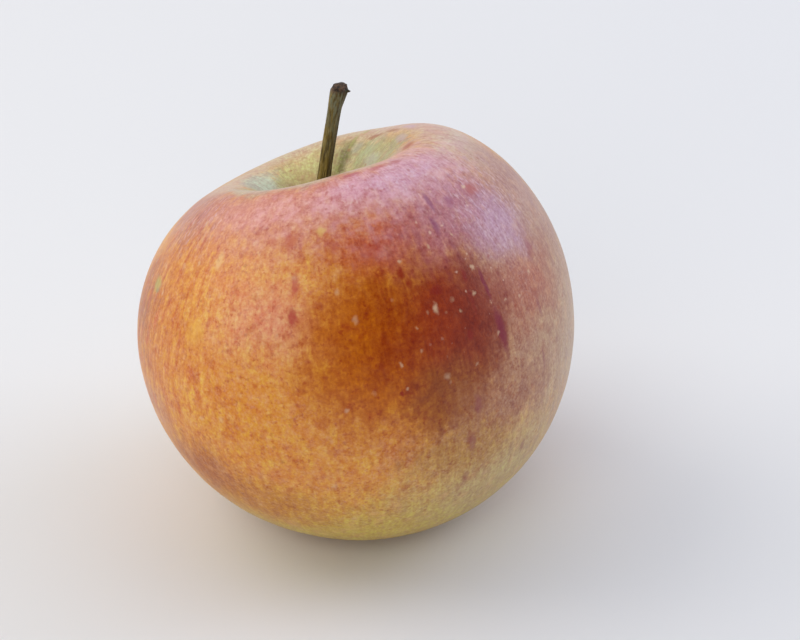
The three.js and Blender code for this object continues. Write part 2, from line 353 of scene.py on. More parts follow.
# Clouds of pigment, and of the milky layer under the wax, which on the shoulder is partly painted sheen: where in the
# noise each is taken, width in millimetres, detail, the values that give 0 and 1, the zone it keeps to, strength,
# colour and blend
SKIN_CLOUDS = {
    "red specks": ((70, 10, 30), 0.9, 2, 0.58, 0.72, "blush", 0.6, "d88a7c", "MULTIPLY"),
    "red clots": ((10, 90, 50), 2.2, 4, 0.54, 0.7, "blush", 0.55, "d88a7c", "MULTIPLY"),
    "thin pigment": ((80, 50, 20), 2.6, 4, 0.54, 0.74, "pale ground", 1, "e6b07c", "MIX"),
    # Partly a milky layer and partly painted sheen on the shoulder
    "milk and sheen": ((40, 20, 60), 1.8, 4, 0.42, 0.68, "milky shoulder sheen", 0.35, "ecbccc", "MIX"),
}

CAMERA_ELEVATION = math.radians(31)
CAMERA_TARGET = Vector((7.54, -0.54, 34.2)) * MM
CAMERA_DISTANCE = 0.4771
CAMERA_LENS, FILM_WIDTH = 120, 36  # millimetres
FLOOR_WIDTH = 8
SKY_STRENGTH = 0.62
ZENITH_STRENGTH = 2  # times the sky's strength, from the second of these heights up
SKY_HEIGHTS = (0.3, 0.95)
ROOM_STRENGTH = 0.15
ROOM_EDGE = (0.9, 0.35)  # cosines of the angles from the camera's side between which the room gives way to sky
# Place, width and height in metres, power in watts, colour, and whether the apple mirrors it
SOFT_BOXES = {
    "left window": ((-0.95, 0.3, 0.85), 1.1, 1.1, 7.5, "fff4e6", True),
    "right window": ((1.1, 0.5, 0.55), 0.85, 0.85, 6, "dfe4ff", True),
    "fill": ((-0.35, -1.3, 0.75), 1.2, 1.2, 9.5, "fffaf2", False),
}


def linear(colour):
    """The linear colour of an sRGB hex value"""
    parts = [int(colour[i : i + 2], 16) / 255 for i in (0, 2, 4)]
    return [c / 12.92 if c <= 0.04045 else ((c + 0.055) / 1.055) ** 2.4 for c in parts] + [1]


def add(tree, kind, *values, named=None, **settings):
    """Adds a node with its settings. The values fill its enabled inputs in order, and named fills them by name. A value
    is a number, a colour, a socket, a node, which gives its first output, or None for an input left alone."""
    node = tree.nodes.new(kind)
    for name, value in settings.items():
        setattr(node, name, value)
    pairs = list(zip([socket for socket in node.inputs if socket.enabled], values))
    pairs += [(node.inputs[name], value) for name, value in (named or {}).items()]
    for socket, value in pairs:
        if isinstance(value, bpy.types.Node):
            value = next(output for output in value.outputs if output.enabled)
        if isinstance(value, bpy.types.NodeSocket):
            tree.links.new(value, socket)
        elif value is not None:
            socket.default_value = value
    return node


def geometry_tree(name, sizes):
    """A geometry tree with a named input for each size, and the sockets that give them"""
    tree = bpy.data.node_groups.new(name, "GeometryNodeTree")
    tree.interface.new_socket("Geometry", in_out="OUTPUT", socket_type="NodeSocketGeometry")
    for label in sizes:
        tree.interface.new_socket(label, in_out="INPUT", socket_type="NodeSocketFloat")
    inputs = add(tree, "NodeGroupInput")
    return tree, {label: inputs.outputs[label] for label in sizes}


def wrapped_sheet(tree, columns, rows):
    """A sheet to be wrapped round an upright axis, with the angle round the axis and the share of the way down"""
    node = partial(add, tree)
    sheet = node("GeometryNodeMeshGrid", 1, 1, columns + 1, rows + 1)
    place = node(SPLIT, node("GeometryNodeInputPosition"))
    angle = node(MATH, place.outputs["X"], TURN, operation="MULTIPLY")
    down = node(MATH, 0.5, place.outputs["Y"], operation="SUBTRACT")
    return sheet, angle, down


def shaped(tree, sheet, x, y, z):
    """The sheet with its points at x, y and z, closed along its seam and at its ends"""
    moved = add(tree, "GeometryNodeSetPosition", sheet, None, add(tree, JOIN, x, y, z))
    return add(tree, "GeometryNodeMergeByDistance", moved, None, 1e-3)


def closing(tree, down, start, end):
    """1 down a form, falling to 0 at its ends, outside the start and end given as shares of the way down"""
    return add(tree, MATH, add(tree, RANGE, down, 0, start), add(tree, RANGE, down, 1, end), operation="MINIMUM")


def drift(tree, at, scale, detail, width):
    """A noisy shift within so wide a range"""
    noise = add(tree, NOISE, at, scale, detail).outputs["Color"]
    centred = add(tree, VECTOR, noise, (0.5, 0.5, 0.5), operation="SUBTRACT")
    return add(tree, VECTOR, centred, width, operation="SCALE")


def end_tree(tree, geometry, material):
    """Ends a tree in metres, smooth, and in its material"""
    metres = add(tree, "GeometryNodeTransform", geometry, None, None, (MM, MM, MM))
    smooth = add(tree, "GeometryNodeSetShadeSmooth", metres)
    whole = add(tree, "GeometryNodeRealizeInstances", smooth)
    add(tree, "NodeGroupOutput", add(tree, "GeometryNodeSetMaterial", whole, None, material))


def grow(name, tree, sizes):
    """Runs a tree on its sizes and keeps the result as a plain mesh"""
    piece = bpy.data.objects.new(name, bpy.data.meshes.new(name))
    bpy.context.collection.objects.link(piece)
    modifier = piece.modifiers.new(name, "NODES")
    modifier.node_group = tree
    for item in tree.interface.items_tree:
        if item.in_out == "INPUT":
            modifier[item.identifier] = float(sizes[item.name])
    grown = piece.evaluated_get(bpy.context.evaluated_depsgraph_get())
    mesh = bpy.data.meshes.new_from_object(grown)
    piece.modifiers.remove(modifier)
    piece.data = mesh
    mesh.name = name
    return piece


def fruit_tree(material):
    """The lobed fruit, with its stem hollow above and its eye basin below"""
    tree, size = geometry_tree("fruit shape", FRUIT)
    node = partial(add, tree)
    sheet, azimuth, down = wrapped_sheet(tree, *SHEETS["fruit"])

    def bump(centre, sharpness):
        """1 at one azimuth, fading evenly to both sides"""
        turned = node(MATH, node(MATH, azimuth, centre, operation="SUBTRACT"), operation="COSINE")
        fade = node(MATH, node(MATH, turned, 1, operation="SUBTRACT"), sharpness, operation="MULTIPLY")
        return node(MATH, fade, operation="EXPONENT")

    def ring(crest):
        """1 at one distance from the axis, nothing at the axis, and fading outwards"""
        share = node(MATH, node(MATH, round_radius, crest, operation="DIVIDE"), 2, operation="POWER")
        fade = node(MATH, node(MATH, 1, share, operation="SUBTRACT"), operation="EXPONENT")
        return node(MATH, share, fade, operation="MULTIPLY")

    # The angle down from the stem's end, with the rows drawn towards both ends
    even = node(MATH, down, math.pi, operation="MULTIPLY")
    wave = node(MATH, node(MATH, even, 2, operation="MULTIPLY"), operation="SINE")
    fall = node(MATH, even, node(MATH, wave, size["crowding"], operation="MULTIPLY"), operation="SUBTRACT")
    across = node(MATH, fall, operation="SINE")
    up = node(MATH, fall, operation="COSINE")
    top_share = node(MATH, node(MATH, up, 0.5, 0.5, operation="MULTIPLY_ADD"), 2, operation="POWER")
    foot_share = node(MATH, node(MATH, up, -0.5, 0.5, operation="MULTIPLY_ADD"), 2, operation="POWER")
    round_radius = node(MATH, size["radius"], across, operation="MULTIPLY")

    # Five lobes, one for each seed chamber
    lobes = 0
    for i in range(LOBES):
        lobe = bump(node(MATH, size["first lobe azimuth"], i * TURN / LOBES), size["lobe sharpness"])
        lobes = node(MATH, lobe, size[f"lobe {i + 1} rise"], lobes, operation="MULTIPLY_ADD")

    # The cross-section, a lobed oval that leans with the core
    turned = node(MATH, azimuth, size["oval azimuth"], operation="SUBTRACT")
    oval = node(MATH, node(MATH, turned, 2, operation="MULTIPLY"), operation="COSINE")
    swelling = node(MATH, lobes, size["lobe swell"], 1, operation="MULTIPLY_ADD")
    swelling = node(MATH, oval, size["oval"], swelling, operation="MULTIPLY_ADD")
    radius = node(MATH, round_radius, swelling, operation="MULTIPLY")
    east = node(MATH, azimuth, operation="COSINE")
    north = node(MATH, azimuth, operation="SINE")
    x = node(MATH, radius, east, operation="MULTIPLY")
    y = node(MATH, radius, north, operation="MULTIPLY")

    # Shoulders: the slope, the lobes and the fold in the hollow's wall
    slope = node(MATH, size["slope x"], x, operation="MULTIPLY")
    slope = node(MATH, size["slope y"], y, slope, operation="MULTIPLY_ADD")
    shoulder = node(MATH, lobes, ring(size["lobe crest radius"]), slope, operation="MULTIPLY_ADD")
    fold = node(MATH, bump(size["fold azimuth"], size["fold sharpness"]), ring(size["fold radius"]),
                operation="MULTIPLY")
    fold = node(MATH, fold, size["fold depth"], operation="MULTIPLY")
    shoulder = node(MATH, shoulder, fold, operation="SUBTRACT")

    # Stem hollow above, eye basin with its pleats and the tube of the eye below
    stretch = node(MATH, azimuth, size["hollow azimuth"], operation="SUBTRACT")
    stretch = node(MATH, node(MATH, stretch, operation="COSINE"), size["hollow stretch"], 1, operation="MULTIPLY_ADD")
    stretch = node(MATH, bump(size["opening azimuth"], size["opening sharpness"]), size["opening"], stretch,
                   operation="MULTIPLY_ADD")
    reach = node(MATH, stretch, size["hollow radius"], operation="MULTIPLY")
    far = node(MATH, node(MATH, round_radius, reach, operation="DIVIDE"), 2, operation="POWER")
    tip = node(MATH, size["hollow tip"], 2, operation="POWER")
    far = node(MATH, node(MATH, far, tip), operation="SQRT")
    far = node(MATH, far, size["hollow steepness"], operation="POWER")
    hollow = node(MATH, node(MATH, far, -1, operation="MULTIPLY"), operation="EXPONENT")
    hollow = node(MATH, hollow, size["hollow depth"], operation="MULTIPLY")
    far = node(MATH, node(MATH, round_radius, size["basin radius"], operation="DIVIDE"), 2, operation="POWER")
    basin = node(MATH, node(MATH, far, -1, operation="MULTIPLY"), operation="EXPONENT")
    basin = node(MATH, basin, size["basin depth"], operation="MULTIPLY")
    is_top = node(MATH, up, 0, operation="GREATER_THAN")
    ends = node(MIX, is_top, basin, node(MATH, hollow, -1, operation="MULTIPLY"))
    pleat = node(MATH, node(MATH, azimuth, size["first lobe azimuth"], operation="SUBTRACT"), LOBES,
                 operation="MULTIPLY")
    pleat = node(MATH, node(MATH, pleat, operation="COSINE"), ring(size["pleat radius"]), operation="MULTIPLY")
    pleat = node(MATH, pleat, size["pleat depth"], operation="MULTIPLY")

    full = node(MATH, node(MATH, across, 3, operation="POWER"), size["side fullness"], 1, operation="MULTIPLY_ADD")
    body = node(MATH, node(MATH, size["half height"], up, operation="MULTIPLY"), full, operation="MULTIPLY")
    z = node(MATH, top_share, shoulder, node(MATH, body, ends), operation="MULTIPLY_ADD")
    z = node(MATH, z, node(MATH, foot_share, pleat, operation="MULTIPLY"), operation="SUBTRACT")
    x = node(MATH, top_share, size["lean x"], node(MATH, x, AXIS[0]), operation="MULTIPLY_ADD")
    y = node(MATH, top_share, size["lean y"], node(MATH, y, AXIS[1]), operation="MULTIPLY_ADD")

    # Each point keeps its azimuth, as a direction, and its fall, for the skin's markings
    marked = node("GeometryNodeStoreNamedAttribute", sheet, None, "skin_place", node(JOIN, east, north, fall),
                  data_type="FLOAT_VECTOR")
    skin = shaped(tree, marked, x, y, z)

    # It stands on its foot, and its skin is a little uneven everywhere else
    place = node("GeometryNodeInputPosition")
    height = node(SPLIT, place).outputs["Z"]
    lowest = node("GeometryNodeAttributeStatistic", skin, None, height).outputs["Min"]
    lift = node(MATH, node(MATH, lowest, -1, operation="MULTIPLY"), size["foot depth"], operation="SUBTRACT")
    lifted = node("GeometryNodeSetPosition", skin, None, None, node(JOIN, 0, 0, lift))
    coarse = node(MATH, 1, size["unevenness width"], operation="DIVIDE")
    uneven = node(MATH, node(NOISE, place, coarse, 1), size["unevenness level"], operation="SUBTRACT")
    uneven = node(MATH, uneven, size["unevenness"], operation="MULTIPLY")
    off_foot = node(RANGE, height, 0, size["even foot"], interpolation_type="SMOOTHSTEP")
    uneven = node(MATH, uneven, off_foot, operation="MULTIPLY")
    swollen = node(VECTOR, node("GeometryNodeInputNormal"), named={"Scale": uneven}, operation="SCALE")
    lifted = node("GeometryNodeSetPosition", lifted, None, None, swollen)
    apart = node(SPLIT, place)
    on_floor = node(JOIN, apart.outputs["X"], apart.outputs["Y"], node(MATH, height, 0, operation="MAXIMUM"))
    end_tree(tree, node("GeometryNodeSetPosition", lifted, None, on_floor), material)
    return tree


def stem_tree(material):
    """The ridged stem, with the scar where it was picked"""
    tree, size = geometry_tree("stem shape", STEM)
    node = partial(add, tree)
    sheet, angle, down = wrapped_sheet(tree, *SHEETS["stem"])
    east = node(MATH, angle, operation="COSINE")
    north = node(MATH, angle, operation="SINE")

    # From the middle of the scar out to its edge, down the stem, and in again under its root
    share = closing(tree, down, SCAR_EDGE, ROOT_EDGE)
    foot = node(MATH, node(MATH, size["sunk"], size["rise z"], operation="DIVIDE"), -1, operation="MULTIPLY")
    t = node(RANGE, down, ROOT_EDGE, SCAR_EDGE, foot, 1)
    along = node(MATH, t, 0, operation="MAXIMUM")

    knob = node(RANGE, t, size["knob from"], size["knob to"], interpolation_type="SMOOTHSTEP")
    bow = node(MATH, along, node(MATH, 1, along, operation="SUBTRACT"), operation="MULTIPLY")
    bow = node(MATH, node(MATH, bow, 4, operation="MULTIPLY"), size["bow"], operation="MULTIPLY")
    bow = node(MATH, knob, size["knob offset"], bow, operation="MULTIPLY_ADD")
    centre_x = node(MATH, along, size["rise x"], node(MATH, size["root x"], bow), operation="MULTIPLY_ADD")
    centre_y = node(MATH, along, size["rise y"], size["root y"], operation="MULTIPLY_ADD")
    centre_z = node(MATH, t, size["rise z"], size["root z"], operation="MULTIPLY_ADD")

    # Ridges run up the bark, and break up over the scar
    near_root = node(MATH, node(MATH, along, size["root share"], operation="DIVIDE"), 2, operation="POWER")
    near_root = node(MATH, node(MATH, near_root, -1, operation="MULTIPLY"), operation="EXPONENT")
    radius = node(MATH, near_root, size["root swell"], size["radius"], operation="MULTIPLY_ADD")
    radius = node(MATH, knob, size["knob swell"], radius, operation="MULTIPLY_ADD")
    rounding = node(RANGE, t, size["knob to"], 1, interpolation_type="SMOOTHSTEP")
    rounding = node(MATH, rounding, size["knob round"], operation="MULTIPLY")
    radius = node(MATH, radius, rounding, operation="SUBTRACT")
    ridge = node(MATH, node(MATH, angle, RIDGES, operation="MULTIPLY"), operation="COSINE")
    radius = node(MATH, ridge, size["ridge height"], radius, operation="MULTIPLY_ADD")
    bark_place = node(JOIN, east, north, node(MATH, t, BARK_STRETCH, operation="MULTIPLY"))
    bark = node(NOISE, bark_place, BARK_SCALE, 2, 0.6)
    bark = node(MATH, bark, 0.5, operation="SUBTRACT")
    radius = node(MATH, bark, size["bark height"], radius, operation="MULTIPLY_ADD")

    # One torn fibre stands out at the tip
    spur = node(MATH, node(MATH, angle, size["spur azimuth"], operation="SUBTRACT"), operation="COSINE")
    spur = node(MATH, node(MATH, spur, 1, operation="SUBTRACT"), size["spur sharpness"], operation="MULTIPLY")
    off = node(MATH, node(MATH, t, size["spur share"], operation="SUBTRACT"), size["spur width"], operation="DIVIDE")
    spur = node(MATH, spur, node(MATH, off, 2, operation="POWER"), operation="SUBTRACT")
    spur = node(MATH, node(MATH, spur, operation="EXPONENT"), size["spur length"], operation="MULTIPLY")
    radius = node(MATH, share, node(MATH, radius, spur), operation="MULTIPLY")

    # The scar across its end
    off_x = node(MATH, radius, east, operation="MULTIPLY")
    off_y = node(MATH, radius, north, operation="MULTIPLY")
    dome = node(MATH, node(MATH, 1, share, operation="SUBTRACT"), size["scar dome"], operation="MULTIPLY")
    cap = node(MATH, off_x, size["scar slant"], dome, operation="MULTIPLY_ADD")
    torn = node(NOISE, node(JOIN, off_x, off_y, 0), SCAR_SCALE, 3, 0.6)
    torn = node(MATH, node(MATH, torn, 0.5, operation="SUBTRACT"), size["scar roughness"], operation="MULTIPLY")
    torn = node(MATH, torn, node(RANGE, share, 1, 0.8), operation="MULTIPLY")
    rise = node(RANGE, t, size["knob from"], 1, interpolation_type="SMOOTHSTEP")
    cap = node(MATH, node(MATH, cap, torn), rise, operation="MULTIPLY")

    marked = node("GeometryNodeStoreNamedAttribute", sheet, None, "bark_place", node(JOIN, east, north, t),
                  data_type="FLOAT_VECTOR")
    x = node(MATH, centre_x, off_x)
    y = node(MATH, centre_y, off_y)
    z = node(MATH, centre_z, cap)
    end_tree(tree, shaped(tree, marked, x, y, z), material)
    return tree


def sepals_tree(material):
    """Five dried sepals that curl outwards from a ring, felted with short hairs"""
    tree, size = geometry_tree("sepals shape", SEPALS)
    node = partial(add, tree)

    # One sepal, hanging from its ring: across it, along it, and through its thickness
    sheet, angle, t = wrapped_sheet(tree, *SHEETS["sepal"])
    closed = closing(tree, t, 0.04, 0.96)
    across = node(MATH, node(MATH, angle, operation="COSINE"), closed, operation="MULTIPLY")
    through = node(MATH, node(MATH, angle, operation="SINE"), closed, operation="MULTIPLY")
    narrowing = node(MATH, 1, node(MATH, t, size["taper"], operation="POWER"), operation="SUBTRACT")
    narrowing = node(MATH, narrowing, size["tip width"], operation="MAXIMUM")
    half_width = node(MATH, node(MATH, size["width"], narrowing, operation="MULTIPLY"), 0.5, operation="MULTIPLY")
    thinning = node(MATH, 1, node(MATH, t, size["thinning"], operation="MULTIPLY"), operation="SUBTRACT")
    layer = node(MATH, node(MATH, through, size["thickness"], operation="MULTIPLY"), 0.5, operation="MULTIPLY")
    layer = node(MATH, layer, thinning, operation="MULTIPLY")
    veins = node(MATH, node(MATH, across, SEPAL_VEINS * math.pi, operation="MULTIPLY"), operation="COSINE")
    veins = node(MATH, veins, node(MATH, size["vein height"], closed, operation="MULTIPLY"), operation="MULTIPLY")
    middle = node(MATH, node(MATH, size["ring outer"], size["ring inner"]), 0.5, operation="MULTIPLY")
    out = node(MATH, size["reach"], node(MATH, t, size["curl"], operation="POWER"), middle,
               operation="MULTIPLY_ADD")
    cupped = node(MATH, node(MATH, across, 2, operation="POWER"), node(MATH, 1, t, operation="SUBTRACT"),
                  operation="MULTIPLY")
    cupped = node(MATH, cupped, size["cup"], operation="MULTIPLY")
    out = node(MATH, node(MATH, out, cupped, operation="SUBTRACT"), node(MATH, layer, veins))
    level = node(MATH, t, node(MATH, t, 3, operation="POWER"), operation="SUBTRACT")
    fall = node(MATH, node(MATH, level, size["levelling"], t, operation="MULTIPLY_ADD"), size["fall"],
                operation="MULTIPLY")
    z = node(MATH, size["overlap"], fall, operation="SUBTRACT")
    z = node(MATH, layer, t, z, operation="MULTIPLY_ADD")
    leaf = shaped(tree, sheet, out, node(MATH, across, half_width, operation="MULTIPLY"), z)

    # Five of them round the ring, no two alike
    index = node("GeometryNodeInputIndex")
    spots = node("GeometryNodeMeshLine", LOBES, named={"Offset": (0, 0, 0)})
    turn = node(MATH, index, TURN / LOBES, size["first azimuth"], operation="MULTIPLY_ADD")
    tilt = node("FunctionNodeRandomValue", -SEPAL_TILT, SEPAL_TILT, named={"ID": index, "Seed": SEEDS["tilt"]})
    length = node("FunctionNodeRandomValue", *SEPAL_LENGTHS, named={"ID": index, "Seed": SEEDS["length"]})
    leaves = node("GeometryNodeInstanceOnPoints", named={
        "Points": spots, "Instance": leaf, "Rotation": node(JOIN, tilt, 0, turn), "Scale": node(JOIN, 1, 1, length),
    })

    # The ring: a closed tube round the axis
    sheet, azimuth, around = wrapped_sheet(tree, *SHEETS["eye ring"])
    around = node(MATH, around, TURN, operation="MULTIPLY")
    half = node(MATH, node(MATH, size["ring outer"], size["ring inner"], operation="SUBTRACT"), 0.5,
                operation="MULTIPLY")
    radius = node(MATH, node(MATH, around, operation="COSINE"), half, middle, operation="MULTIPLY_ADD")
    half_height = node(MATH, size["ring height"], 0.5, operation="MULTIPLY")
    z = node(MATH, node(MATH, around, operation="SINE"), half_height, half_height, operation="MULTIPLY_ADD")
    ring = shaped(tree, sheet, node(MATH, radius, node(MATH, azimuth, operation="COSINE"), operation="MULTIPLY"),
                  node(MATH, radius, node(MATH, azimuth, operation="SINE"), operation="MULTIPLY"), z)

    whole = node("GeometryNodeJoinGeometry")
    for part in (leaves, ring):
        tree.links.new(part.outputs[0], whole.inputs[0])
    whole = node("GeometryNodeRealizeInstances", whole)
    shift = drift(tree, node("GeometryNodeInputPosition"), *SEPAL_CRINKLES, size["crinkle"])
    whole = node("GeometryNodeSetPosition", whole, None, None, shift)

    # Short hairs all over: cones of three sides
    cone = node("GeometryNodeMeshCone", 3, 1, 1, 0, size["hair radius"], size["hair length"])
    roots = node("GeometryNodeDistributePointsOnFaces", whole, None, size["hairs per square millimetre"],
                 named={"Seed": SEEDS["hair place"]})
    lean = node("FunctionNodeRandomValue", -HAIR_LEAN, HAIR_LEAN, data_type="FLOAT_VECTOR",
                named={"Seed": SEEDS["hair lean"]})
    bent = node("FunctionNodeRotateRotation", roots.outputs["Rotation"], lean, rotation_space="LOCAL")
    hairs = node("GeometryNodeInstanceOnPoints", named={
        "Points": roots.outputs["Points"], "Instance": cone.outputs["Mesh"], "Rotation": bent,
    })
    felted = node("GeometryNodeJoinGeometry")
    for part in (whole, hairs):
        tree.links.new(part.outputs[0], felted.inputs[0])
    spot = node(JOIN, size["foot x"], size["foot y"], size["foot z"])
    end_tree(tree, node("GeometryNodeTransform", felted, spot), material)
    return tree


def stamens_tree(material):
    """The dried stamens, bent threads with small heads, hanging from a disc"""
    tree, size = geometry_tree("stamens shape", STAMENS)
    node = partial(add, tree)

    # One thread of length 1, that narrows to its waist and ends in a wrinkled head
    sheet, angle, t = wrapped_sheet(tree, *SHEETS["stamen"])
    closed = node(MATH, closing(tree, t, 0.03, 0.94), 0.5, operation="POWER")
    thin = node(RANGE, t, 0, size["waist share"], 1, size["waist"])
    body = node(MATH, thin, size["radius"], operation="MULTIPLY")
    head = node(RANGE, t, size["anther from"], size["anther to"], interpolation_type="SMOOTHSTEP")
    body = node(MIX, head, body, size["anther"])
    radius = node(MATH, body, closed, operation="MULTIPLY")
    bend = node(MATH, node(MATH, t, 2, operation="POWER"), size["bend"], operation="MULTIPLY")
    x = node(MATH, radius, node(MATH, angle, operation="COSINE"), bend, operation="MULTIPLY_ADD")
    y = node(MATH, radius, node(MATH, angle, operation="SINE"), operation="MULTIPLY")
    depth = node(MATH, t, size["length"], operation="MULTIPLY")
    thread = shaped(tree, sheet, x, y, node(MATH, depth, -1, operation="MULTIPLY"))

    # Spread over the disc by the golden angle
    index = node("GeometryNodeInputIndex")
    azimuth = node(MATH, index, GOLDEN_TURN, operation="MULTIPLY")
    spread = node(MATH, node(MATH, node(MATH, index, 0.5), size["count"], operation="DIVIDE"), operation="SQRT")
    start = node(MATH, node(MATH, size["disc radius"], size["inset"], operation="SUBTRACT"), spread,
                 operation="MULTIPLY")
    top = node(MATH, node(MATH, size["disc height"], 0.5, operation="MULTIPLY"), size["disc above"])
    spot = node(JOIN, node(MATH, start, node(MATH, azimuth, operation="COSINE"), operation="MULTIPLY"),
                node(MATH, start, node(MATH, azimuth, operation="SINE"), operation="MULTIPLY"), top)
    spots = node("GeometryNodeMeshLine", named={"Count": size["count"], "Offset": (0, 0, 0)})
    spots = node("GeometryNodeSetPosition", spots, None, spot)
    lean = node(MATH, node(MATH, start, size["lean"], operation="MULTIPLY"), -1, operation="MULTIPLY")
    part_turn = node(MATH, node(MATH, azimuth, 1 / TURN, operation="MULTIPLY"), operation="FRACT")
    short = node(MATH, 1, node(MATH, part_turn, size["shortening"], operation="MULTIPLY"), operation="SUBTRACT")
    threads = node("GeometryNodeInstanceOnPoints", named={
        "Points": spots, "Instance": thread, "Rotation": node(JOIN, 0, lean, azimuth), "Scale": node(JOIN, 1, 1, short),
    })

    # The disc, rounded at its edge and domed a little
    sheet, azimuth, down = wrapped_sheet(tree, *SHEETS["disc"])
    fall = node(MATH, down, math.pi, operation="MULTIPLY")
    out = node(MATH, node(MATH, fall, operation="SINE"), size["disc edge"], operation="POWER")
    out = node(MATH, out, size["disc radius"], operation="MULTIPLY")
    half_height = node(MATH, size["disc height"], 0.5, operation="MULTIPLY")
    z = node(MATH, node(MATH, fall, operation="COSINE"), half_height, top, operation="MULTIPLY_ADD")
    disc = shaped(tree, sheet, node(MATH, out, node(MATH, azimuth, operation="COSINE"), operation="MULTIPLY"),
                  node(MATH, out, node(MATH, azimuth, operation="SINE"), operation="MULTIPLY"), z)

    whole = node("GeometryNodeJoinGeometry")
    for part in (threads, disc):
        tree.links.new(part.outputs[0], whole.inputs[0])
    whole = node("GeometryNodeRealizeInstances", whole)
    shift = drift(tree, node("GeometryNodeInputPosition"), *STAMEN_WRINKLES, size["wrinkle"])
    whole = node("GeometryNodeSetPosition", whole, None, None, shift)
    spot = node(JOIN, size["foot x"], size["foot y"], size["foot z"])
    end_tree(tree, node("GeometryNodeTransform", whole, spot), material)
    return tree


def new_material(name):
    """A material and its empty tree"""
    material = bpy.data.materials.new(name)
    material.use_nodes = True
    material.node_tree.nodes.clear()
    return material, material.node_tree


def end_material(tree, looks):
    """Ends a material's tree in its shader, with a value or a node for each of the named inputs"""
    add(tree, "ShaderNodeOutputMaterial", add(tree, "ShaderNodeBsdfPrincipled", named=looks))


def millimetres(tree):
    """The point on the object, in millimetres"""
    return add(tree, VECTOR, add(tree, "ShaderNodeTexCoord").outputs["Object"], 1 / MM, operation="SCALE")


def painted(tree, ground, colour, share, strength=1, blend="MIX"):
    """The ground with a colour over it, as thickly as the share says at each point"""
    share = add(tree, MATH, share, strength, operation="MULTIPLY")
    return add(tree, MIX, share, ground, linear(colour), data_type="RGBA", blend_type=blend)


